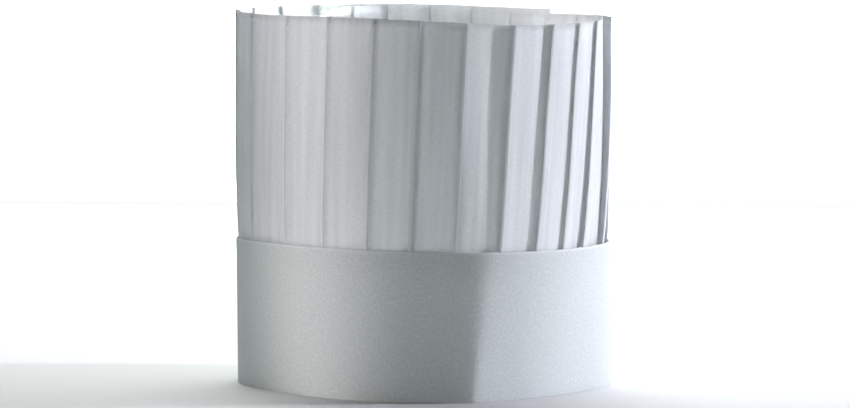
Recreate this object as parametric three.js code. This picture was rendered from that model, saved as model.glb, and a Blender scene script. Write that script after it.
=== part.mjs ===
// Disposable pleated chef hat, standing on the lower edge of its band.
// Millimetres, +Z up, the front faces -Y, +X is the right side as seen from the front.
// The origin is the centre of the band's lower edge, on the surface that the hat stands on.
// Angles are in degrees round the hat: 0 is the front, 90 the right side, 180 the back.
import * as THREE from "three";

// Heights
const BAND_HEIGHT = 78.9;
const RIM_HEIGHT = 199.4;
const TUCK_DEPTH = 13;
const BAND_RISE_LEFT = 1.1;
const RIM_RISE_LEFT = 1.2;
const RIM_WRAP_DROP = 2.2;

// Cloth
const BAND_WALL = 1.2;
const CROWN_WALL = 1;
const LAYER_GAP = 0.35;
const BAND_TO_CROWN = 0.5;

// Plan of the hat: the radius of its outside at three levels, and how far the rim and the
// band's top edge wave up, round from the front
const PLAN_STEP_DEG = 30;
const PLAN = [
  { foot: 100.3, bandTop: 98.8, rim: 99.1, rimUp: 0.4, bandUp: 0 },
  { foot: 94.6, bandTop: 98.8, rim: 98.9, rimUp: -1.4, bandUp: 0 },
  { foot: 92.4, bandTop: 97.4, rim: 98.6, rimUp: -0.5, bandUp: 0 },
  { foot: 100.9, bandTop: 99.4, rim: 98.9, rimUp: 0.6, bandUp: 0 },
  { foot: 102.3, bandTop: 99.5, rim: 99.0, rimUp: -0.2, bandUp: 0 },
  { foot: 100.8, bandTop: 99.3, rim: 98.9, rimUp: -0.9, bandUp: 0 },
  { foot: 100.1, bandTop: 99.3, rim: 99.2, rimUp: -0.1, bandUp: 0 },
  { foot: 100.5, bandTop: 99.7, rim: 99.7, rimUp: -0.5, bandUp: 0 },
  { foot: 101.2, bandTop: 100.5, rim: 101.0, rimUp: -0.7, bandUp: -0.9 },
  { foot: 100.2, bandTop: 101.6, rim: 102.3, rimUp: -0.4, bandUp: -1.5 },
  { foot: 91.8, bandTop: 100.2, rim: 101.0, rimUp: 0.1, bandUp: 0.1 },
  { foot: 95.7, bandTop: 97.8, rim: 99.6, rimUp: 1.0, bandUp: 0 },
];

// Where the plan's own middle stands, so that the origin is the centre of the hat's extents
const PLAN_MIDDLE_X = 0.44;
const PLAN_MIDDLE_Y = 1.78;

// Upright creases of the band either side of the front, each fading or softening upwards
const CREASE_SPREAD_DEG = 12;
const CREASES = [
  { footDeg: 14.4, topDeg: 19, footHeight: 5.2, topHeight: 2.6, footSoftDeg: 0.4, topSoftDeg: 3 },
  { footDeg: -7.1, topDeg: -12, footHeight: 3, topHeight: 0, footSoftDeg: 0.4, topSoftDeg: 3 },
];

// The creases fade out over this share of the crown
const CREASE_FADE_SHARE = 0.6;

// The band's ends lap at the back
const BAND_START_DEG = 172;
const BAND_LAP_DEG = 15;
const BAND_LAP_EASE_DEG = 8;
const BAND_STEPS = 124;
const BAND_LEVELS = 5;

// The crown's strip wraps round once from its outer end and on behind itself
const WRAP_START_DEG = -223;
const WRAP_END_DEG = 250;
const LAP_INSET = 6.2;
const LAP_EASE_DEG = 30;

// Knife pleats. Each row is one outer fold: where it stands at the band and at the rim,
// and how far it stands off the panel beside it at both.
const PLEAT_OVERLAP = 4.5;
const PANEL_FALL_AT_CREASE = 0.15;
const PANEL_FALL_AT_MIDDLE = 0.75;
const BACK_FOLD_STANDOFF = 4.2;
const FRONT_FOLDS = [
  { bandDeg: -68.0, rimDeg: -66.1, bandOff: 3.4, rimOff: 4.0 },
  { bandDeg: -49.5, rimDeg: -47.6, bandOff: 3.4, rimOff: 4.0 },
  { bandDeg: -34.3, rimDeg: -31.7, bandOff: 3.4, rimOff: 4.0 },
  { bandDeg: -19.1, rimDeg: -16.6, bandOff: 3.4, rimOff: 3.8 },
  { bandDeg: -5.0, rimDeg: -2.5, bandOff: 3.4, rimOff: 3.8 },
  { bandDeg: 8.7, rimDeg: 11.9, bandOff: 3.4, rimOff: 4.0 },
  { bandDeg: 22.9, rimDeg: 27.6, bandOff: 3.6, rimOff: 5.2 },
  { bandDeg: 36.4, rimDeg: 42.3, bandOff: 3.6, rimOff: 4.0 },
  { bandDeg: 48.8, rimDeg: 54.7, bandOff: 3.4, rimOff: 3.4 },
  { bandDeg: 60.5, rimDeg: 66.5, bandOff: 3.4, rimOff: 3.4 },
  { bandDeg: 77.2, rimDeg: 88.4, bandOff: 3.6, rimOff: 5.2 },
];
const BACK_LEFT_PLEATS = 10;
const BACK_RIGHT_PLEATS = 11;

// Sections of the crown, from its tucked edge to its rim
const CROWN_SECTIONS = [
  { aboveBand: -TUCK_DEPTH, share: 0, bulge: 0 },
  { aboveBand: 0, share: 0, bulge: 0.1 },
  { aboveBand: 0, share: 0.1, bulge: 1.0 },
  { aboveBand: 0, share: 0.35, bulge: 2.0 },
  { aboveBand: 0, share: 0.7, bulge: 2.3 },
  { aboveBand: 0, share: 1, bulge: 2.5 },
];

// The free inner end rises behind the outer end, leans inwards, and droops near its end
const INNER_RISE = 1.8;
const INNER_RISE_OVER_DEG = 14;
const FLAP_FROM_DEG = 190;
const FLAP_OVER_DEG = 50;
const FLAP_LEAN = 25;
const FLAP_LEAN_POWER = 1.4;
const DROOP_FROM_DEG = 218;
const DROOP_OVER_DEG = 32;
const DROOP = 2.6;

// Colours
const CROWN_COLOUR = 0xf1f5f7;
const BAND_COLOUR = 0xe9edec;

const radians = (deg) => (deg * Math.PI) / 180;

function wrapped(deg) {
  return ((deg % 360) + 360) % 360;
}

function eased(value) {
  const t = Math.min(Math.max(value, 0), 1);
  return t * t * (3 - 2 * t);
}

function mixed(a, b, t) {
  return a + (b - a) * t;
}

// Smooth curve through one column of the plan
function planValue(column, deg) {
  const count = PLAN.length;
  const place = wrapped(deg) / PLAN_STEP_DEG;
  const row = Math.floor(place);
  const t = place - row;
  const at = (k) => PLAN[(row + k + count) % count][column];
  const [a, b, c, d] = [at(-1), at(0), at(1), at(2)];
  const bend = 2 * a - 5 * b + 4 * c - d;
  const twist = 3 * (b - c) + d - a;
  return b + 0.5 * t * (c - a + t * (bend + t * twist));
}

// How far the creases stand out of the band at a share of its height
function creaseHeight(deg, share) {
  let height = 0;
  for (const crease of CREASES) {
    const away = wrapped(deg - mixed(crease.footDeg, crease.topDeg, share) + 180) - 180;
    const soft = mixed(crease.footSoftDeg, crease.topSoftDeg, share);
    const past = Math.hypot(away, soft) - soft;
    height += mixed(crease.footHeight, crease.topHeight, share) * Math.exp(-past / CREASE_SPREAD_DEG);
  }
  return height;
}

// Outside of the band at a height given as a share of the band
function bandRadius(deg, share) {
  return mixed(planValue("foot", deg), planValue("bandTop", deg), share) + creaseHeight(deg, share);
}

function bandTopHeight(deg) {
  return BAND_HEIGHT - BAND_RISE_LEFT * Math.sin(radians(deg)) + planValue("bandUp", deg);
}

function rimHeight(deg) {
  const level = RIM_HEIGHT - RIM_RISE_LEFT * Math.sin(radians(deg)) + planValue("rimUp", deg);
  const wrap = (deg - WRAP_START_DEG) / 360;
  const rise = INNER_RISE * eased(((wrap - 1) * 360) / INNER_RISE_OVER_DEG);
  return level + RIM_WRAP_DROP * (0.5 - wrap) + rise;
}

function planPoint(deg, radius) {
  const right = PLAN_MIDDLE_X + radius * Math.sin(radians(deg));
  const back = PLAN_MIDDLE_Y - radius * Math.cos(radians(deg));
  return new THREE.Vector2(right, back);
}

// Both sides of a wall whose middle runs through the points, square at each corner
function wallSides(points, wall) {
  const last = points.length - 1;
  return points.map((point, i) => {
    const before = points[Math.max(i - 1, 0)];
    const after = points[Math.min(i + 1, last)];
    const into = point.clone().sub(before);
    const out = after.clone().sub(point);
    if (i === 0) into.copy(out);
    if (i === last) out.copy(into);
    const first = new THREE.Vector2(into.y, -into.x).normalize();
    const second = new THREE.Vector2(out.y, -out.x).normalize();
    const mitre = first.clone().add(second);
    const reach = wall / mitre.dot(first) / 2;
    mitre.multiplyScalar(reach);
    return { outer: point.clone().add(mitre), inner: point.clone().sub(mitre) };
  });
}

// Closed strip of cloth through sections, each with plan points and their heights
function stripGeometry(sections, wall) {
  const rows = sections.map((section) => wallSides(section.points, wall));
  const across = rows[0].length;
  const position = [];
  rows.forEach((row, k) => {
    row.forEach((side, i) => {
      const z = sections[k].heights[i];
      position.push(side.outer.x, side.outer.y, z, side.inner.x, side.inner.y, z);
    });
  });
  const outer = (k, i) => 2 * (k * across + i);
  const inner = (k, i) => outer(k, i) + 1;
  const index = [];
  const quad = (a, b, c, d) => index.push(a, b, c, a, c, d);
  const top = rows.length - 1;
  for (let i = 0; i < across - 1; i += 1) {
    for (let k = 0; k < top; k += 1) {
      quad(outer(k, i), outer(k, i + 1), outer(k + 1, i + 1), outer(k + 1, i));
      quad(inner(k, i + 1), inner(k, i), inner(k + 1, i), inner(k + 1, i + 1));
    }
    quad(outer(top, i), outer(top, i + 1), inner(top, i + 1), inner(top, i));
    quad(inner(0, i), inner(0, i + 1), outer(0, i + 1), outer(0, i));
  }
  const end = across - 1;
  for (let k = 0; k < top; k += 1) {
    quad(inner(k, 0), outer(k, 0), outer(k + 1, 0), inner(k + 1, 0));
    quad(outer(k, end), inner(k, end), inner(k + 1, end), outer(k + 1, end));
  }
  const geometry = new THREE.BufferGeometry();
  geometry.setAttribute("position", new THREE.Float32BufferAttribute(position, 3));
  geometry.setIndex(index);
  geometry.computeVertexNormals();
  return geometry;
}

function clothMaterial(colour, roughness) {
  return new THREE.MeshStandardMaterial({ color: colour, roughness, metalness: 0 });
}

// One level of the band, with its inner end let in behind its outer end
function bandSection(level) {
  const share = level / (BAND_LEVELS - 1);
  const turn = 360 + BAND_LAP_DEG;
  const points = [];
  const heights = [];
  for (let step = 0; step <= BAND_STEPS; step += 1) {
    const along = (turn * step) / BAND_STEPS;
    const deg = BAND_START_DEG + along;
    const letIn = eased((along - 360 + BAND_LAP_EASE_DEG) / BAND_LAP_EASE_DEG);
    const inset = BAND_WALL / 2 + letIn * (BAND_WALL + LAYER_GAP);
    points.push(planPoint(deg, bandRadius(deg, share) - inset));
    heights.push(share * bandTopHeight(deg));
  }
  return { points, heights };
}

function makeHeadband() {
  const sections = Array.from({ length: BAND_LEVELS }, (_, level) => bandSection(level));
  const mesh = new THREE.Mesh(stripGeometry(sections, BAND_WALL), clothMaterial(BAND_COLOUR, 0.9));
  mesh.name = "headband";
  return mesh;
}

// Every outer fold of the crown in order, those out of sight spread evenly
function allFolds() {
  const first = FRONT_FOLDS[0];
  const last = FRONT_FOLDS[FRONT_FOLDS.length - 1];
  const off = { bandOff: BACK_FOLD_STANDOFF, rimOff: BACK_FOLD_STANDOFF };
  const folds = [];
  for (let i = 0; i < BACK_LEFT_PLEATS; i += 1) {
    const t = i / BACK_LEFT_PLEATS;
    const bandDeg = mixed(WRAP_START_DEG, first.bandDeg, t);
    folds.push({ bandDeg, rimDeg: mixed(WRAP_START_DEG, first.rimDeg, t), ...off });
  }
  folds.push(...FRONT_FOLDS);
  for (let i = 1; i <= BACK_RIGHT_PLEATS; i += 1) {
    const t = i / BACK_RIGHT_PLEATS;
    const bandDeg = mixed(last.bandDeg, WRAP_END_DEG, t);
    folds.push({ bandDeg, rimDeg: mixed(last.rimDeg, WRAP_END_DEG, t), ...off });
  }
  return folds;
}

// How far the crown is let in beside the lapped ends of the band
function besideBandLap(deg) {
  const past = wrapped(deg - BAND_START_DEG + BAND_LAP_EASE_DEG);
  const rise = eased(past / BAND_LAP_EASE_DEG);
  const fall = eased((past - BAND_LAP_DEG - BAND_LAP_EASE_DEG) / BAND_LAP_EASE_DEG);
  return (BAND_WALL + LAYER_GAP) * (rise - fall);
}

// Middle of the crown's cloth at an outer fold
function crownRadius(deg, section) {
  const band = bandRadius(deg, 1 + Math.min(section.aboveBand, 0) / BAND_HEIGHT);
  const tucked = band - BAND_WALL - BAND_TO_CROWN - CROWN_WALL / 2;
  const spread = (planValue("rim", deg) - planValue("bandTop", deg)) * section.share;
  const faded = creaseHeight(deg, 1) * eased(section.share / CREASE_FADE_SHARE);
  const pastWrap = deg - WRAP_START_DEG - 360 + LAP_EASE_DEG;
  const inset = LAP_INSET * eased(pastWrap / LAP_EASE_DEG) + besideBandLap(deg);
  return tucked + spread + section.bulge - faded - inset;
}

// Plan of one pleat: its panel, the inner crease behind the next fold, and the way back out
function pleatPoints(fold, next, section) {
  const t = section.share;
  const from = mixed(fold.bandDeg, fold.rimDeg, t);
  const to = mixed(next.bandDeg, next.rimDeg, t);
  const off = mixed(next.bandOff, next.rimOff, t);
  const lap = (PLEAT_OVERLAP / crownRadius(from, section)) * (180 / Math.PI);
  const foldWidth = CROWN_WALL + LAYER_GAP;
  const early = from + lap;
  const middle = mixed(early, to, 0.5);
  return [
    { deg: from, inset: 0 },
    { deg: early, inset: PANEL_FALL_AT_CREASE * off },
    { deg: middle, inset: PANEL_FALL_AT_MIDDLE * off },
    { deg: to, inset: off },
    { deg: to + lap, inset: off },
    { deg: to + lap, inset: off - foldWidth },
    { deg: to, inset: foldWidth },
  ];
}

// How far the free inner end leans in, and how much lower that brings it
function flapShift(deg, section) {
  const along = eased((deg - FLAP_FROM_DEG) / FLAP_OVER_DEG);
  const lean = FLAP_LEAN * along * section.share ** FLAP_LEAN_POWER;
  const droop = DROOP * eased((deg - DROOP_FROM_DEG) / DROOP_OVER_DEG) * section.share;
  const tall = rimHeight(deg) - bandTopHeight(deg);
  return { lean, drop: droop + tall - Math.sqrt(tall * tall - lean * lean) };
}

function crownSection(folds, section) {
  const points = [];
  const heights = [];
  const add = (deg, inset) => {
    const bandTop = bandTopHeight(deg);
    const flap = flapShift(deg, section);
    const height = mixed(bandTop, rimHeight(deg), section.share);
    points.push(planPoint(deg, crownRadius(deg, section) - inset - flap.lean));
    heights.push(height + section.aboveBand - flap.drop);
  };
  for (let i = 0; i < folds.length - 1; i += 1) {
    const pleat = pleatPoints(folds[i], folds[i + 1], section);
    const isLast = i === folds.length - 2;
    const shown = isLast ? pleat.slice(0, 3) : pleat;
    shown.forEach((point) => add(point.deg, point.inset));
  }
  return { points, heights };
}

function makeCrown() {
  const folds = allFolds();
  const sections = CROWN_SECTIONS.map((section) => crownSection(folds, section));
  const mesh = new THREE.Mesh(stripGeometry(sections, CROWN_WALL), clothMaterial(CROWN_COLOUR, 0.85));
  mesh.name = "pleated_crown";
  return mesh;
}

const hat = new THREE.Group();
hat.name = "disposable_chef_hat";
hat.add(makeHeadband());
hat.add(makeCrown());

export default hat;
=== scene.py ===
"""Disposable pleated chef hat: the cloth of its band and crown, and the studio that it stands in."""

import math

import bmesh
import bpy
from mathutils import Matrix, Vector, noise


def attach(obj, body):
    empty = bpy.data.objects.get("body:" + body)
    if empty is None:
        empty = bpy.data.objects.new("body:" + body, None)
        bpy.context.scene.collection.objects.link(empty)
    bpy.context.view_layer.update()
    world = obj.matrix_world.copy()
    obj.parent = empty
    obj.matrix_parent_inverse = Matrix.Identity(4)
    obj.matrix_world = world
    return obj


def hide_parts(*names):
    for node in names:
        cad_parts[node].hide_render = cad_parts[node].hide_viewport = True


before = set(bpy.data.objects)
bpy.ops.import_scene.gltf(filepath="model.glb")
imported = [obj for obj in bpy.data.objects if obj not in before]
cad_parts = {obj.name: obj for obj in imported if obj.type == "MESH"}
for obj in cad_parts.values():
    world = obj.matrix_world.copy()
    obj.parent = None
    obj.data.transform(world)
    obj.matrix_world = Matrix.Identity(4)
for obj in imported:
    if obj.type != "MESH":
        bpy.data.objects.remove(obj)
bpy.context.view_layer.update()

bl_info = {
    "name": "Pleated chef hat",
    "version": (1, 0, 0),
    "blender": (4, 5, 0),
    "location": "3D View > Sidebar > Hat",
    "description": "Builds a disposable pleated chef hat and a plain studio round it",
    "category": "Add Mesh",
}

MM = 0.001

# Heights of the edges, in millimetres
BAND_HEIGHT = 78.9
RIM_HEIGHT = 199.4
TUCK_DEPTH = 12.0
BAND_RISE_LEFT = 1.1
RIM_RISE_LEFT = 1.2
RIM_WRAP_DROP = 2.2

# The inner end of the crown rises again behind the outer end
INNER_RISE = 1.8
INNER_RISE_OVER_DEG = 14.0

# Plan of the hat's outside, a row every thirty degrees round from the front: the radius at the band's foot,
# at its top and at the rim, and how much higher than level the rim and the band's top edge stand
PLAN_STEP_DEG = 30
PLAN = (
    {"foot": 100.3, "band_top": 98.8, "rim": 99.1, "rim_up": 0.4, "band_up": 0.0},
    {"foot": 94.6, "band_top": 98.8, "rim": 98.9, "rim_up": -1.4, "band_up": 0.0},
    {"foot": 92.4, "band_top": 97.4, "rim": 98.6, "rim_up": -0.5, "band_up": 0.0},
    {"foot": 100.9, "band_top": 99.4, "rim": 98.9, "rim_up": 0.6, "band_up": 0.0},
    {"foot": 102.3, "band_top": 99.5, "rim": 99.0, "rim_up": -0.2, "band_up": 0.0},
    {"foot": 100.8, "band_top": 99.3, "rim": 98.9, "rim_up": -0.9, "band_up": 0.0},
    {"foot": 100.1, "band_top": 99.3, "rim": 99.2, "rim_up": -0.1, "band_up": 0.0},
    {"foot": 100.5, "band_top": 99.7, "rim": 99.7, "rim_up": -0.5, "band_up": 0.0},
    {"foot": 101.2, "band_top": 100.5, "rim": 101.0, "rim_up": -0.7, "band_up": -0.9},
    {"foot": 100.2, "band_top": 101.6, "rim": 102.3, "rim_up": -0.4, "band_up": -1.5},
    {"foot": 91.8, "band_top": 100.2, "rim": 101.0, "rim_up": 0.1, "band_up": 0.1},
    {"foot": 95.7, "band_top": 97.8, "rim": 99.6, "rim_up": 1.0, "band_up": 0.0},
)
PLAN_MIDDLE_X = 0.44
PLAN_MIDDLE_Y = 1.78

# Upright creases of the band either side of the front, flatter and softer upwards, with heights in
# millimetres and softness in degrees
CREASE_SPREAD_DEG = 12.0
CREASES = (
    {"foot_deg": 14.4, "top_deg": 19.0, "foot_height": 5.2, "top_height": 2.6,
     "foot_soft": 0.4, "top_soft": 3.0},
    {"foot_deg": -7.1, "top_deg": -12.0, "foot_height": 3.0, "top_height": 0.0,
     "foot_soft": 0.4, "top_soft": 3.0},
)

# The creases fade out over this share of the crown
CREASE_FADE_SHARE = 0.6

# The band's ends lap at the back, the inner end clear of the outer one, and the crown clear of both
BAND_START_DEG = 172.0
BAND_LAP_DEG = 15.0
BAND_LAP_EASE_DEG = 5.0
BAND_LAP_GAP = 0.25
BAND_LAP_TO_CROWN = 0.3
BAND_TO_CROWN = 0.08
BAND_STEPS = 420
BAND_LEVELS = 26

# The band's cut edges: how far they are rounded, and how low the painted highlight along the top one reaches
CUT_EDGE = 0.4
CUT_EDGE_OVER_DEG = 60.0
TOP_HIGHLIGHT_DEPTH = 1.4

# The crown's strip wraps round once from its outer end and on behind itself
WRAP_START_DEG = -223.0
WRAP_END_DEG = 250.0
LAP_INSET = 5.6
LAP_EASE_DEG = 30.0

# Cross-section of a knife pleat: the rounded outer fold, the panel that sinks from it to the next one, and
# the cloth tucked under that. Widths and depths are in millimetres, the panel's start is in widths of the
# fold, and the tuck's middle is a share of the overlap.
FOLD_WIDTH = 1.3
FOLD_DEPTH = 0.2
FOLD_STEPS = 3
PANEL_STEPS = 9
PANEL_STARTS_AT = 1.15
PLEAT_OVERLAP = 3.5
TUCK_MIDDLE = 0.55
TUCK_SINK = 0.1
TUCK_TURN_DEG = 0.15
TUCK_POINTS = 4
LAYER_STEP = 0.75

# Points before the rounded part of an outer fold that the painted highlight along it takes in
HIGHLIGHT_BEFORE_FOLD = 2

# Outer folds: where each one stands at the band and at the rim, how far it stands off the panel before it,
# and how soon that panel sinks. The folds out of sight are all alike and evenly spread.
BACK_STANDOFF = 3.4
BACK_FALL_POWER = 1.8
FRONT_FOLDS = (
    {"band_deg": -68.0, "rim_deg": -66.1, "band_off": 2.4, "rim_off": 3.2, "fall_power": 1.8},
    {"band_deg": -49.5, "rim_deg": -47.6, "band_off": 2.4, "rim_off": 3.4, "fall_power": 1.8},
    {"band_deg": -34.3, "rim_deg": -31.7, "band_off": 2.4, "rim_off": 3.4, "fall_power": 2.1},
    {"band_deg": -19.1, "rim_deg": -16.6, "band_off": 2.2, "rim_off": 3.0, "fall_power": 2.6},
    {"band_deg": -5.0, "rim_deg": -2.5, "band_off": 2.2, "rim_off": 2.8, "fall_power": 3.0},
    {"band_deg": 8.7, "rim_deg": 11.9, "band_off": 2.4, "rim_off": 3.2, "fall_power": 2.6},
    {"band_deg": 22.9, "rim_deg": 27.6, "band_off": 3.0, "rim_off": 5.2, "fall_power": 1.3},
    {"band_deg": 36.4, "rim_deg": 42.3, "band_off": 3.1, "rim_off": 3.4, "fall_power": 1.8},
    {"band_deg": 48.8, "rim_deg": 54.7, "band_off": 2.4, "rim_off": 2.0, "fall_power": 1.8},
    {"band_deg": 60.5, "rim_deg": 66.5, "band_off": 3.2, "rim_off": 2.3, "fall_power": 1.8},
    {"band_deg": 77.2, "rim_deg": 88.4, "band_off": 3.6, "rim_off": 5.2, "fall_power": 1.8},
)
BACK_LEFT_PLEATS = 10
BACK_RIGHT_PLEATS = 11

# Heights at which the crown's strip is drawn, as shares of what shows above the band and of the tuck below
CROWN_LEVELS = 25
TUCK_SHARES = (-1.0, -0.5)

# Small wandering of the crown's panels: how fast it changes round the hat and upwards, where its noise is
# read, and how it grows with the share of the way up
SWAY_PER_DEG = 0.16
SWAY_PER_MM = 0.018
SWAY_SEED = 3.1
SWAY_POWER = 0.5

# Both sheets: the corners under this angle are shaded smooth, and the wall is thinned in tight folds
SMOOTH_UNDER_DEG = 38.0
WALL_CLAMP = 0.8

# How far the crown swells past the band, by its share of the way up
BULGE = ((0.0, 0.1), (0.06, 0.7), (0.2, 1.2), (0.3, 1.6), (0.5, 1.7), (0.7, 1.8), (1.0, 2.0))

# The free inner end leans inwards, and droops near its end
FLAP_FROM_DEG = 190.0
FLAP_OVER_DEG = 50.0
FLAP_LEAN = 25.0
FLAP_LEAN_POWER = 1.4
DROOP_FROM_DEG = 218.0
DROOP_OVER_DEG = 32.0
DROOP = 2.6

# Crown's cloth: fine fibres across the strip and longer streaks up it, by their number to a metre
FIBRE_SCALE = (330.0, 1700.0, 1.0)
STREAK_SCALE = (260.0, 9.0, 1.0)
STREAK_SHARE = 0.45

# Band's cloth: raised pebbles with finer mottling, by their number to a metre
PEBBLE_SCALE = 800.0
MOTTLE_SCALE = 560.0
MOTTLE_SHARE = 0.6

# Surface of both cloths: where the two tones lie in the relief, the painted highlight tone of the outer folds
# and the band's top edge, and the relief's depth in metres
TONE_PLACES = (0.3, 0.7)
PAINTED_HIGHLIGHT_TONE = "FBFFFF"
BUMP_STRENGTH = 0.35
BUMP_HEIGHT = 0.0003

# Camera, worked out from the photograph's perspective, in metres, radians and millimetres of lens, with the
# middle of its view in pixels of the 850 by 408 photograph
CAMERA_DISTANCE = 3.365
CAMERA_HEIGHT = 0.349
CAMERA_PITCH = 0.0745
CAMERA_ROLL = 0.0054
CAMERA_LENS = 266.1
SENSOR_WIDTH = 36.0
CAMERA_CENTRE_X = 424.4
CAMERA_CENTRE_Y = 202.2
CAMERA_REACH = 60.0
FRAME_WIDTH = 850
FRAME_HEIGHT = 408

# Studio, in metres: the floor, the point that most lamps shine at, and how narrow each glow of the room is
FLOOR_HALF = 1.2
FLOOR_BACK = 0.1
HAT_MIDDLE = (0.0, 0.0, 0.1)
BEHIND_NARROW = 200.0
ABOVE_NARROW = 12.0
FRONT_NARROW = 1.0
ROOM_COLOUR = "FAFFFE"


def linear(code):
    """An sRGB hex colour as linear values with full alpha."""
    parts = (int(code[i : i + 2], 16) / 255 for i in (0, 2, 4))
    return (*(c / 12.92 if c <= 0.04045 else ((c + 0.055) / 1.055) ** 2.4 for c in parts), 1.0)


def mixed(a, b, t):
    """Value at the share t of the way from a to b."""
    return a + (b - a) * t


def eased(value):
    """Smooth step from 0 to 1."""
    t = min(max(value, 0.0), 1.0)
    return t * t * (3 - 2 * t)


def plan_value(column, deg):
    """Smooth curve through one column of the plan."""
    place = (deg % 360) / PLAN_STEP_DEG
    row = int(place)
    t = place - row
    a, b, c, d = (PLAN[(row + k) % len(PLAN)][column] for k in (-1, 0, 1, 2))
    return b + 0.5 * t * (c - a + t * (2 * a - 5 * b + 4 * c - d + t * (3 * (b - c) + d - a)))


def crease_height(deg, share):
    """How far the creases stand out of the band at a share of its height."""
    height = 0.0
    for crease in CREASES:
        away = (deg - mixed(crease["foot_deg"], crease["top_deg"], share) + 180) % 360 - 180
        soft = mixed(crease["foot_soft"], crease["top_soft"], share)
        past = math.hypot(away, soft) - soft
        out = mixed(crease["foot_height"], crease["top_height"], share)
        height += out * math.exp(-past / CREASE_SPREAD_DEG)
    return height


def band_radius(deg, share):
    """Outside of the band at a share of its height."""
    plain = mixed(plan_value("foot", deg), plan_value("band_top", deg), share)
    return plain + crease_height(deg, share)


def band_top_height(deg):
    return BAND_HEIGHT - BAND_RISE_LEFT * math.sin(math.radians(deg)) + plan_value("band_up", deg)


def rim_height(deg):
    """Height of the crown's top edge, with the angle counted on along the strip."""
    wrap = (deg - WRAP_START_DEG) / 360
    level = RIM_HEIGHT - RIM_RISE_LEFT * math.sin(math.radians(deg)) + plan_value("rim_up", deg)
    rise = INNER_RISE * eased((wrap - 1) * 360 / INNER_RISE_OVER_DEG)
    return level + RIM_WRAP_DROP * (0.5 - wrap) + rise


def place(deg, radius, height):
    """A point of the hat, in metres."""
    turn = math.radians(deg)
    x = PLAN_MIDDLE_X + radius * math.sin(turn)
    y = PLAN_MIDDLE_Y - radius * math.cos(turn)
    return Vector((x, y, height)) * MM


def bulge(share):
    """How far the crown swells at a share of the way up, in straight steps."""
    for (low, a), (high, b) in zip(BULGE, BULGE[1:]):
        if share <= high:
            return mixed(a, b, (share - low) / (high - low))
    return BULGE[-1][1]


def all_folds():
    """Every outer fold in order, those out of sight spread evenly."""
    first, last = FRONT_FOLDS[0], FRONT_FOLDS[-1]
    plain = {"band_off": BACK_STANDOFF, "rim_off": BACK_STANDOFF, "fall_power": BACK_FALL_POWER}
    folds = []
    for i in range(BACK_LEFT_PLEATS):
        t = i / BACK_LEFT_PLEATS
        at = {k: mixed(WRAP_START_DEG, first[k], t) for k in ("band_deg", "rim_deg")}
        folds.append({**at, **plain})
    folds.extend(FRONT_FOLDS)
    for i in range(1, BACK_RIGHT_PLEATS + 1):
        t = i / BACK_RIGHT_PLEATS
        at = {k: mixed(last[k], WRAP_END_DEG, t) for k in ("band_deg", "rim_deg")}
        folds.append({**at, **plain})
    return folds


def beside_band_lap(deg, settings):
    """How far the crown gives way to the band's lap."""
    past = (deg - BAND_START_DEG + BAND_LAP_EASE_DEG) % 360
    rise = eased(past / BAND_LAP_EASE_DEG)
    fall = eased((past - BAND_LAP_DEG - BAND_LAP_EASE_DEG) / BAND_LAP_EASE_DEG)
    return (settings.band_cloth / MM + BAND_LAP_TO_CROWN) * (rise - fall)


def crown_radius(deg, share, settings):
    """Middle of the crown's cloth at an outer fold, with share below 0 inside the band."""
    up = max(share, 0.0)
    band = band_radius(deg, 1 + min(share, 0.0) * TUCK_DEPTH / BAND_HEIGHT)
    tucked = band - (settings.band_cloth + settings.crown_cloth / 2) / MM - BAND_TO_CROWN
    spread = (plan_value("rim", deg) - plan_value("band_top", deg)) * up
    faded = crease_height(deg, 1.0) * eased(up / CREASE_FADE_SHARE)
    inset = LAP_INSET * eased((deg - WRAP_START_DEG - 360 + LAP_EASE_DEG) / LAP_EASE_DEG)
    return tucked + spread + bulge(up) - faded - inset - beside_band_lap(deg, settings)


def pleat_path(fold, following, share, settings):
    """Angle and inset of the points along one pleat, from its outer fold to the next one."""
    up = max(share, 0.0)
    start = mixed(fold["band_deg"], fold["rim_deg"], up)
    end = mixed(following["band_deg"], following["rim_deg"], up)
    off = mixed(following["band_off"], following["rim_off"], up)
    radius = crown_radius(start, share, settings)
    lap = math.degrees(PLEAT_OVERLAP / radius)
    curl = math.degrees(FOLD_WIDTH / radius)
    path = []
    for step in range(1, FOLD_STEPS + 1):
        turn = math.pi / 2 * step / FOLD_STEPS
        path.append((start + curl * (1 - math.cos(turn)), FOLD_DEPTH * (1 - math.sin(turn))))
    first = PANEL_STARTS_AT * curl / (end - start)
    for step in range(PANEL_STEPS):
        t = mixed(first, 1.0, step / (PANEL_STEPS - 1))
        fall = off * (1 - (1 - t) ** following["fall_power"])
        path.append((mixed(start, end, t), fall))
    path.append((end + lap * TUCK_MIDDLE, off + TUCK_SINK))
    path.append((end + lap - TUCK_TURN_DEG, off + TUCK_SINK))
    path.append((end + lap, off + TUCK_SINK - LAYER_STEP / 2))
    path.append((end + lap - TUCK_TURN_DEG, off + TUCK_SINK - LAYER_STEP))
    for step in range(FOLD_STEPS + 1):
        turn = math.pi / 2 * step / FOLD_STEPS
        path.append((end + curl * (1 - math.sin(turn)), FOLD_DEPTH * (1 + math.cos(turn))))
    return path


def flap_shift(deg, share):
    """How far the free inner end leans in, and how much lower that brings it."""
    lean = FLAP_LEAN * eased((deg - FLAP_FROM_DEG) / FLAP_OVER_DEG) * max(share, 0.0) ** FLAP_LEAN_POWER
    droop = DROOP * eased((deg - DROOP_FROM_DEG) / DROOP_OVER_DEG) * max(share, 0.0)
    tall = rim_height(deg) - band_top_height(deg)
    return lean, droop + tall - math.sqrt(tall * tall - lean * lean)


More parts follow.
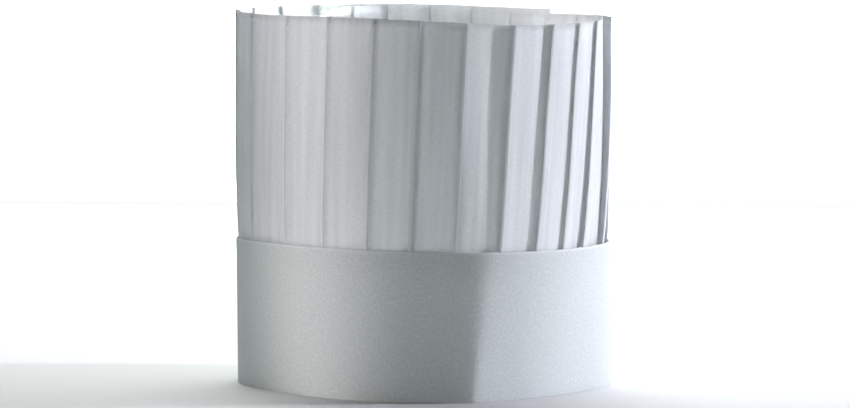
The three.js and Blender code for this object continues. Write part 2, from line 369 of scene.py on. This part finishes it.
def crown_point(deg, inset, share, settings):
    """A point of the crown's strip, with share below 0 inside the band."""
    low = band_top_height(deg)
    lean, drop = flap_shift(deg, share)
    height = mixed(low, rim_height(deg), share) if share >= 0 else low + share * TUCK_DEPTH
    radius = crown_radius(deg, share, settings) - inset - lean
    spot = Vector((deg * SWAY_PER_DEG, height * SWAY_PER_MM, SWAY_SEED))
    sway = noise.noise(spot) * settings.sway / MM
    return place(deg, radius + sway * max(share, 0.0) ** SWAY_POWER, height - drop)


def loft(name, rows, width_of, is_highlighted):
    """Open sheet drawn up row by row with extrusions.

    It has a cloth UV map in metres, and the points of its outer folds or top edge that get a painted
    highlight are marked.
    """
    mesh = bpy.data.meshes.new(name)
    bm = bmesh.new()
    # Layer that marks the points that get a painted highlight
    highlight_layer = bm.verts.layers.float.new("pressed")
    first = [bm.verts.new(p) for p in rows[0]]
    edges = [bm.edges.new(pair) for pair in zip(first, first[1:])]
    grid = [first]
    for row in rows[1:]:
        made = bmesh.ops.extrude_edge_only(bm, edges=edges)["geom"]
        edges = [g for g in made if isinstance(g, bmesh.types.BMEdge)]
        above = {}
        new = {g for g in made if isinstance(g, bmesh.types.BMVert)}
        for vert in new:
            for edge in vert.link_edges:
                other = edge.other_vert(vert)
                if other not in new:
                    above[other] = vert
        line = [above[v] for v in grid[-1]]
        for vert, point in zip(line, row):
            vert.co = point
        edges = [bm.edges.get(pair) for pair in zip(line, line[1:])]
        grid.append(line)
    uv = bm.loops.layers.uv.new("cloth")
    where = {v: (i, k) for k, line in enumerate(grid) for i, v in enumerate(line)}
    for face in bm.faces:
        for loop in face.loops:
            i, k = where[loop.vert]
            loop[uv].uv = (width_of[i], grid[k][i].co.z)
    for k, line in enumerate(grid):
        for i, vert in enumerate(line):
            vert[highlight_layer] = float(is_highlighted(i, k))
    # The side that looks away from the hat's middle is the outer one
    bmesh.ops.recalc_face_normals(bm, faces=bm.faces)
    first_face = bm.faces[0]
    if first_face.normal.dot(first_face.calc_center_median() * Vector((1, 1, 0))) < 0:
        bmesh.ops.reverse_faces(bm, faces=bm.faces)
    bm.to_mesh(mesh)
    bm.free()
    return mesh


def lengths(row):
    """Distance along a row of points, at each of them."""
    total, out = 0.0, [0.0]
    for a, b in zip(row, row[1:]):
        total += (b - a).length
        out.append(total)
    return out


def finish_sheet(name, mesh, cloth, material, node, edge=0.0):
    """Gives a sheet its wall, material and place in the frame, with rounded cut edges where asked."""
    piece = bpy.data.objects.new(name, mesh)
    bpy.context.scene.collection.objects.link(piece)
    wall = piece.modifiers.new("cloth_wall", "SOLIDIFY")
    wall.thickness = cloth
    wall.offset = 0.0
    wall.use_even_offset = True
    wall.thickness_clamp = WALL_CLAMP
    if edge:
        rounded = piece.modifiers.new("cut_edge", "BEVEL")
        rounded.affect = "EDGES"
        rounded.width = edge
        rounded.segments = 2
        rounded.profile = 0.5
        rounded.material = -1
        rounded.limit_method = "ANGLE"
        rounded.angle_limit = math.radians(CUT_EDGE_OVER_DEG)
    mesh.materials.append(material)
    mesh.shade_smooth()
    mesh.set_sharp_from_angle(angle=math.radians(SMOOTH_UNDER_DEG))
    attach(piece, "root")
    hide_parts(node)
    return piece


def add(tree, kind, at, settings=None, links=None):
    """Adds one node with its settings, and links its inputs from the given sockets or values."""
    node = tree.nodes.new(kind)
    node.location = at
    for key, value in (settings or {}).items():
        setattr(node, key, value)
    for key, value in (links or {}).items():
        if isinstance(value, bpy.types.NodeSocket):
            tree.links.new(value, node.inputs[key])
        else:
            node.inputs[key].default_value = value
    return node


def new_material(name):
    """A material with an empty node tree, and that tree."""
    material = bpy.data.materials.new(name)
    material.use_nodes = True
    material.node_tree.nodes.clear()
    return material, material.node_tree


def cloth_surface(tree, relief, tones, finish, see_through):
    """Matt cloth in two tones after its relief, with a painted highlight where marked, partly see-through."""
    tone = add(tree, "ShaderNodeValToRGB", (-600, 100), None, {"Fac": relief})
    for element, position, code in zip(tone.color_ramp.elements, TONE_PLACES, tones):
        element.position = position
        element.color = linear(code)
    # Painted highlight on the marked outer folds and the band's top edge
    edge = add(tree, "ShaderNodeAttribute", (-600, 350), {"attribute_name": "pressed"})
    colour = add(tree, "ShaderNodeMix", (-420, 200), {"data_type": "RGBA"},
                 {0: edge.outputs["Fac"], 6: tone.outputs["Color"], 7: linear(PAINTED_HIGHLIGHT_TONE)})
    bump = add(tree, "ShaderNodeBump", (-600, -250), None,
               {"Strength": BUMP_STRENGTH, "Distance": BUMP_HEIGHT, "Height": relief})
    cloth = add(tree, "ShaderNodeBsdfPrincipled", (-250, 150), None,
                {**finish, "Base Color": colour.outputs[2], "Normal": bump.outputs["Normal"]})
    through = add(tree, "ShaderNodeBsdfTranslucent", (-250, -350), None,
                  {"Color": colour.outputs[2], "Normal": bump.outputs["Normal"]})
    mix = add(tree, "ShaderNodeMixShader", (50, 0), None,
              {"Fac": see_through, 1: cloth.outputs[0], 2: through.outputs[0]})
    add(tree, "ShaderNodeOutputMaterial", (250, 0), None, {"Surface": mix.outputs[0]})


def nonwoven_material(settings):
    """Thin viscose nonwoven: matt white, see-through where one layer stands before the light."""
    material, tree = new_material("spunlaced_viscose_nonwoven")
    where = add(tree, "ShaderNodeUVMap", (-1400, 0), {"uv_map": "cloth"})
    across = add(tree, "ShaderNodeMapping", (-1200, 200), None,
                 {"Vector": where.outputs[0], "Scale": FIBRE_SCALE})
    fibre = add(tree, "ShaderNodeTexNoise", (-1000, 200), {"noise_dimensions": "2D"},
                {"Vector": across.outputs[0], "Scale": 1.0, "Detail": 3.0, "Roughness": 0.6})
    upright = add(tree, "ShaderNodeMapping", (-1200, -150), None,
                  {"Vector": where.outputs[0], "Scale": STREAK_SCALE})
    streak = add(tree, "ShaderNodeTexNoise", (-1000, -150), {"noise_dimensions": "2D"},
                 {"Vector": upright.outputs[0], "Scale": 1.0, "Detail": 2.0, "Roughness": 0.5})
    both = add(tree, "ShaderNodeMix", (-800, 50), {"data_type": "FLOAT"},
               {"Factor": STREAK_SHARE, "A": fibre.outputs["Fac"], "B": streak.outputs["Fac"]})
    finish = {"Roughness": 0.85, "Specular IOR Level": 0.25, "Sheen Weight": 0.08}
    cloth_surface(tree, both.outputs[0], ("E2E5E6", "F5F7F8"), finish, settings.crown_see_through)
    return material


def crepe_material(settings):
    """Thicker crepe nonwoven: matt white, with small raised pebbles from its embossing."""
    material, tree = new_material("embossed_crepe_nonwoven")
    where = add(tree, "ShaderNodeUVMap", (-1400, 0), {"uv_map": "cloth"})
    pebble = add(tree, "ShaderNodeTexVoronoi", (-1100, 150), {"voronoi_dimensions": "2D"},
                 {"Vector": where.outputs[0], "Scale": PEBBLE_SCALE})
    mottle = add(tree, "ShaderNodeTexNoise", (-1100, -150), {"noise_dimensions": "2D"},
                 {"Vector": where.outputs[0], "Scale": MOTTLE_SCALE, "Detail": 3.0, "Roughness": 0.65})
    both = add(tree, "ShaderNodeMix", (-850, 0), {"data_type": "FLOAT"},
               {"Factor": MOTTLE_SHARE, "A": pebble.outputs["Distance"], "B": mottle.outputs["Fac"]})
    finish = {"Roughness": 0.9, "Specular IOR Level": 0.2}
    cloth_surface(tree, both.outputs[0], ("D8DFDE", "E8EDED"), finish, settings.band_see_through)
    return material


def floor_material(settings):
    """Matt white painted board."""
    material, tree = new_material("matt_white_board")
    paint = add(tree, "ShaderNodeBsdfPrincipled", (0, 0), None,
                {"Base Color": settings.floor_colour, "Roughness": 0.9, "Specular IOR Level": 0.1})
    add(tree, "ShaderNodeOutputMaterial", (250, 0), None, {"Surface": paint.outputs[0]})
    return material


class HatSettings(bpy.types.PropertyGroup):
    crown_cloth: bpy.props.FloatProperty(
        name="Crown cloth", description="Thickness of the crown's cloth", default=0.0004,
        min=0.0002, max=0.001, subtype="DISTANCE", unit="LENGTH", precision=5)
    band_cloth: bpy.props.FloatProperty(
        name="Band cloth", description="Thickness of the band's cloth", default=0.0009,
        min=0.0003, max=0.002, subtype="DISTANCE", unit="LENGTH", precision=5)
    sway: bpy.props.FloatProperty(
        name="Sway", description="How far the crown's panels wander in and out", default=0.0006,
        min=0.0, max=0.003, subtype="DISTANCE", unit="LENGTH", precision=5)
    crown_see_through: bpy.props.FloatProperty(
        name="Crown see-through", description="Share of the light that goes into the crown's cloth",
        default=0.38, min=0.0, max=1.0, subtype="FACTOR")
    band_see_through: bpy.props.FloatProperty(
        name="Band see-through", description="Share of the light that goes into the band's cloth",
        default=0.15, min=0.0, max=1.0, subtype="FACTOR")


class StudioSettings(bpy.types.PropertyGroup):
    floor_colour: bpy.props.FloatVectorProperty(
        name="Floor", description="Colour of the floor", default=linear("F7F8F8"),
        size=4, min=0.0, max=1.0, subtype="COLOR")
    key_power: bpy.props.FloatProperty(
        name="Key light", description="Power of the soft light from the right", default=24.0,
        min=0.0, subtype="POWER", unit="POWER")
    fill_power: bpy.props.FloatProperty(
        name="Fill light", description="Power of the narrow upright light from the front left", default=0.05,
        min=0.0, subtype="POWER", unit="POWER")
    side_power: bpy.props.FloatProperty(
        name="Side fill light", description="Power of the narrow upright light further left", default=0.012,
        min=0.0, subtype="POWER", unit="POWER")
    inside_power: bpy.props.FloatProperty(
        name="Inside light", description="Power of the narrow light down into the hat", default=4.5,
        min=0.0, subtype="POWER", unit="POWER")
    rim_power: bpy.props.FloatProperty(
        name="Rim light", description="Power of the narrow light over the right rim on the left wall",
        default=0.1, min=0.0, subtype="POWER", unit="POWER")
    back_wall_power: bpy.props.FloatProperty(
        name="Back wall light", description="Power of the narrow light over the front rim on the back wall",
        default=0.007, min=0.0, subtype="POWER", unit="POWER")
    floor_power: bpy.props.FloatProperty(
        name="Floor light", description="Power of the light on the floor behind the hat", default=4.0,
        min=0.0, subtype="POWER", unit="POWER")
    far_floor_power: bpy.props.FloatProperty(
        name="Far floor light", description="Power of the light on the far floor", default=6.0,
        min=0.0, subtype="POWER", unit="POWER")
    behind_glow: bpy.props.FloatProperty(
        name="Glow behind", description="Brightness of the room behind the hat", default=3.0, min=0.0)
    above_glow: bpy.props.FloatProperty(
        name="Glow above", description="Brightness of the room above and behind the hat",
        default=4.1, min=0.0)
    front_glow: bpy.props.FloatProperty(
        name="Glow in front", description="Brightness of the room in front of the hat", default=0.18, min=0.0)
    room_glow: bpy.props.FloatProperty(
        name="Room glow", description="Brightness of the rest of the room", default=0.01, min=0.0)


class HAT_OT_headband(bpy.types.Operator):
    """Builds the upright band, one strip of crepe with its ends lapped at the back"""

    bl_idname = "hat.headband"
    bl_label = "Headband"

    def execute(self, context):
        settings = context.scene.hat
        cloth = settings.band_cloth / MM
        turn = 360 + BAND_LAP_DEG
        rows = []
        shares = [level / BAND_LEVELS for level in range(BAND_LEVELS)]
        # An extra row just under the top edge keeps the painted highlight along it narrow
        shares += [1 - TOP_HIGHLIGHT_DEPTH / BAND_HEIGHT, 1.0]
        for share in shares:
            row = []
            for step in range(BAND_STEPS + 1):
                along = turn * step / BAND_STEPS
                deg = BAND_START_DEG + along
                let_in = eased((along - 360 + BAND_LAP_EASE_DEG) / BAND_LAP_EASE_DEG)
                radius = band_radius(deg, share) - cloth / 2 - let_in * (cloth + BAND_LAP_GAP)
                row.append(place(deg, radius, share * band_top_height(deg)))
            rows.append(row)
        # The top row gets the painted highlight
        mesh = loft("headband_cloth", rows, lengths(rows[-1]), lambda i, k: k == len(rows) - 1)
        piece = finish_sheet("headband_cloth", mesh, settings.band_cloth,
                             crepe_material(settings), "headband", CUT_EDGE * MM)
        lengths(rows[-1])[-1]
        return {"FINISHED"}


class HAT_OT_crown(bpy.types.Operator):
    """Builds the crown, one strip of thin cloth in knife pleats, lapped at the back"""

    bl_idname = "hat.crown"
    bl_label = "Pleated crown"

    def execute(self, context):
        settings = context.scene.hat
        folds = all_folds()
        shares = [*TUCK_SHARES, *(i / CROWN_LEVELS for i in range(CROWN_LEVELS + 1))]
        rows = []
        for share in shares:
            row = []
            for i, (fold, following) in enumerate(zip(folds, folds[1:])):
                path = pleat_path(fold, following, share, settings)
                if i == len(folds) - 2:
                    path = path[: FOLD_STEPS + PANEL_STEPS]
                row.extend(crown_point(deg, inset, share, settings) for deg, inset in path)
            rows.append(row)
        middle = lengths(rows[len(rows) // 2])
        points = FOLD_STEPS + PANEL_STEPS + TUCK_POINTS + FOLD_STEPS + 1
        # The outer folds and the points just before them get the painted highlight
        pressed = HIGHLIGHT_BEFORE_FOLD + FOLD_STEPS
        mesh = loft("pleated_crown_cloth", rows, middle,
                    lambda i, k: (i + HIGHLIGHT_BEFORE_FOLD) % points < pressed)
        piece = finish_sheet("pleated_crown_cloth", mesh, settings.crown_cloth,
                             nonwoven_material(settings), "pleated_crown")
        return {"FINISHED"}


def from_side(deg, distance, height):
    """A place in the studio, by its angle round the hat from the front."""
    turn = math.radians(deg)
    return (distance * math.sin(turn), -distance * math.cos(turn), height)


# Lamps, with their size, place and aim in metres and the spread of their light in degrees
LAMPS = (
    {"name": "key_right", "power": "key_power", "size": (0.14, 0.8), "at": from_side(95, 1.5, 0.35),
     "towards": HAT_MIDDLE, "colour": "F3F1FF", "spread": 180.0},
    {"name": "fill_front_left", "power": "fill_power", "size": (0.04, 0.6), "at": from_side(-42, 0.95, 0.2),
     "towards": HAT_MIDDLE, "colour": "FFF6F6", "spread": 8.0},
    {"name": "fill_side_left", "power": "side_power", "size": (0.04, 0.6), "at": from_side(-50, 0.95, 0.2),
     "towards": (0.0, -0.04, 0.1), "colour": "FFF6F6", "spread": 8.0},
    {"name": "inside", "power": "inside_power", "size": (0.06, 0.06), "at": (0.0, 0.0, 1.2),
     "towards": HAT_MIDDLE, "colour": "FFFFFF", "spread": 6.0},
    {"name": "over_rim", "power": "rim_power", "size": (0.06, 0.06), "at": from_side(80, 1.5, 0.9),
     "towards": (-0.09, 0.03, 0.19), "colour": "FFFFFF", "spread": 6.0},
    {"name": "over_front", "power": "back_wall_power", "size": (0.06, 0.06), "at": from_side(20, 1.5, 1.2),
     "towards": (0.03, 0.09, 0.185), "colour": "FFFFFF", "spread": 5.0},
    {"name": "floor_far", "power": "far_floor_power", "size": (1.6, 0.4), "at": (0.0, 0.85, 1.5),
     "towards": (0.0, 0.85, 0.0), "colour": "FFFFFF", "spread": 36.0},
    {"name": "floor_behind", "power": "floor_power", "size": (1.4, 0.9), "at": (0.0, 0.6, 1.5),
     "towards": (0.0, 0.6, 0.0), "colour": "FFFFFF", "spread": 60.0},
)


def soft_light(name, power, size, at, towards, colour, spread):
    """A rectangular lamp that shines from one point towards another."""
    lamp = bpy.data.lights.new(name, "AREA")
    lamp.shape = "RECTANGLE"
    lamp.size, lamp.size_y = size
    lamp.energy = power
    lamp.color = linear(colour)[:3]
    lamp.spread = math.radians(spread)
    piece = bpy.data.objects.new(name, lamp)
    bpy.context.scene.collection.objects.link(piece)
    piece.location = at
    piece.rotation_euler = (Vector(towards) - Vector(at)).to_track_quat("-Z", "Y").to_euler()


def glow(tree, way, axis, power, strength, at):
    """Strength of a soft glow of the room, brightest along its axis."""
    facing = add(tree, "ShaderNodeVectorMath", (-700, at), {"operation": "DOT_PRODUCT"},
                 {0: way.outputs["Generated"], 1: axis})
    front = add(tree, "ShaderNodeMath", (-540, at), {"operation": "MAXIMUM"},
                {0: facing.outputs["Value"], 1: 0.0})
    narrow = add(tree, "ShaderNodeMath", (-380, at), {"operation": "POWER"},
                 {0: front.outputs[0], 1: power})
    return add(tree, "ShaderNodeMath", (-220, at), {"operation": "MULTIPLY"},
               {0: narrow.outputs[0], 1: strength})


def studio_world(settings):
    """Room that glows white straight behind the hat and above it, and softly in front."""
    world = bpy.data.worlds.new("studio_room")
    bpy.context.scene.world = world
    world.use_nodes = True
    tree = world.node_tree
    tree.nodes.clear()
    way = add(tree, "ShaderNodeTexCoord", (-900, 0))
    behind = glow(tree, way, (0.0, 1.0, 0.0), BEHIND_NARROW, settings.behind_glow, 200)
    above = glow(tree, way, (0.0, math.sqrt(0.5), math.sqrt(0.5)), ABOVE_NARROW, settings.above_glow, -200)
    front = glow(tree, way, (0.0, -1.0, 0.0), FRONT_NARROW, settings.front_glow, -600)
    both = add(tree, "ShaderNodeMath", (-40, 100), None, {0: behind.outputs[0], 1: above.outputs[0]})
    three = add(tree, "ShaderNodeMath", (60, -100), None, {0: both.outputs[0], 1: front.outputs[0]})
    total = add(tree, "ShaderNodeMath", (160, 100), None, {0: three.outputs[0], 1: settings.room_glow})
    room = add(tree, "ShaderNodeBackground", (280, 0), None,
               {"Color": linear(ROOM_COLOUR), "Strength": total.outputs[0]})
    add(tree, "ShaderNodeOutputWorld", (440, 0), None, {"Surface": room.outputs[0]})


class HAT_OT_studio(bpy.types.Operator):
    """Builds the floor, the lights and the camera at the photograph's viewing angle"""

    bl_idname = "hat.studio"
    bl_label = "Studio"

    def execute(self, context):
        scene = context.scene
        settings = scene.hat_studio
        mesh = bpy.data.meshes.new("studio_floor")
        bm = bmesh.new()
        bmesh.ops.create_grid(bm, x_segments=1, y_segments=1, size=FLOOR_HALF)
        bm.to_mesh(mesh)
        bm.free()
        mesh.materials.append(floor_material(settings))
        floor = bpy.data.objects.new("studio_floor", mesh)
        floor.location = (0.0, FLOOR_BACK, 0.0)
        scene.collection.objects.link(floor)
        for lamp in LAMPS:
            power = getattr(settings, lamp["power"])
            soft_light(**{**lamp, "power": power})
        studio_world(settings)
        lens = bpy.data.cameras.new("camera")
        lens.lens = CAMERA_LENS
        lens.sensor_width = SENSOR_WIDTH
        lens.sensor_fit = "HORIZONTAL"
        lens.shift_x = (FRAME_WIDTH / 2 - CAMERA_CENTRE_X) / FRAME_WIDTH
        lens.shift_y = (CAMERA_CENTRE_Y - FRAME_HEIGHT / 2) / FRAME_WIDTH
        lens.clip_end = CAMERA_REACH
        camera = bpy.data.objects.new("camera", lens)
        scene.collection.objects.link(camera)
        camera.location = (0.0, -CAMERA_DISTANCE, CAMERA_HEIGHT)
        level = Matrix.Rotation(math.pi / 2 - CAMERA_PITCH, 3, "X")
        camera.rotation_euler = (level @ Matrix.Rotation(CAMERA_ROLL, 3, "Z")).to_euler()
        scene.camera = camera
        scene.view_settings.view_transform = "Standard"
        return {"FINISHED"}


class HAT_PT_panel(bpy.types.Panel):
    """Lists the hat's pieces and sizes"""

    bl_idname = "HAT_PT_panel"
    bl_label = "Chef hat"
    bl_space_type = "VIEW_3D"
    bl_region_type = "UI"
    bl_category = "Hat"

    def draw(self, context):
        for group in (context.scene.hat, context.scene.hat_studio):
            for key in group.__annotations__:
                self.layout.prop(group, key)
        for operator in (HAT_OT_headband, HAT_OT_crown, HAT_OT_studio):
            self.layout.operator(operator.bl_idname)


CLASSES = (HatSettings, StudioSettings, HAT_OT_headband, HAT_OT_crown, HAT_OT_studio, HAT_PT_panel)


def register():
    """Adds the hat's settings, operators and panel to Blender."""
    for cls in CLASSES:
        bpy.utils.register_class(cls)
    bpy.types.Scene.hat = bpy.props.PointerProperty(type=HatSettings)
    bpy.types.Scene.hat_studio = bpy.props.PointerProperty(type=StudioSettings)


def unregister():
    """Takes them out again."""
    del bpy.types.Scene.hat_studio
    del bpy.types.Scene.hat
    for cls in reversed(CLASSES):
        bpy.utils.unregister_class(cls)


def main():
    """Builds the hat in its studio."""
    register()
    bpy.ops.hat.headband()
    bpy.ops.hat.crown()
    bpy.ops.hat.studio()


if __name__ == "__main__":
    main()
